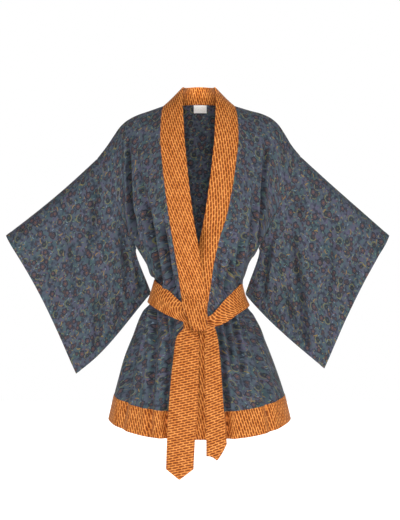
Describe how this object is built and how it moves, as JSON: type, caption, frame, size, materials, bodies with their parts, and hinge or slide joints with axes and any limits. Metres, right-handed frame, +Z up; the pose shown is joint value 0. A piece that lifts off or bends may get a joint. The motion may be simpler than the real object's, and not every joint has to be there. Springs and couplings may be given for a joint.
{
  "type": "kimono",
  "caption": "Short belted kimono robe in worn form, hollow, with square hanging sleeves, a long neckband, a bordered hem and a tied belt with pointed ends.",
  "frame": {"origin": "on the middle line, level with the points where the neckband crosses the shoulders; the wearer's shoulders hold the garment here", "axes": "+Z up; -Y is the front of the garment; +X is the right of someone who looks at the front, which is the wearer's left"},
  "size_m": [0.945, 0.2946, 0.9522],
  "materials": {
    "printed_cloth": "soft matt crepe, slate blue-grey with a small floral print",
    "contrast_cloth": "soft matt, orange with rows of small darker dashes",
    "label_cloth": "smooth woven satin, plain white"
  },
  "bodies": {
    "root": {"back": "printed_cloth", "front_left": "printed_cloth", "front_right": "printed_cloth", "sleeve_left": "printed_cloth", "sleeve_right": "printed_cloth", "neckband": "contrast_cloth", "hem_border_back": "contrast_cloth", "hem_border_front_left": "contrast_cloth", "hem_border_front_right": "contrast_cloth", "belt_waist": "contrast_cloth", "belt_knot": "contrast_cloth", "belt_end_long": "contrast_cloth", "belt_end_short": "contrast_cloth", "label": "label_cloth"}
  },
  "joints": []
}
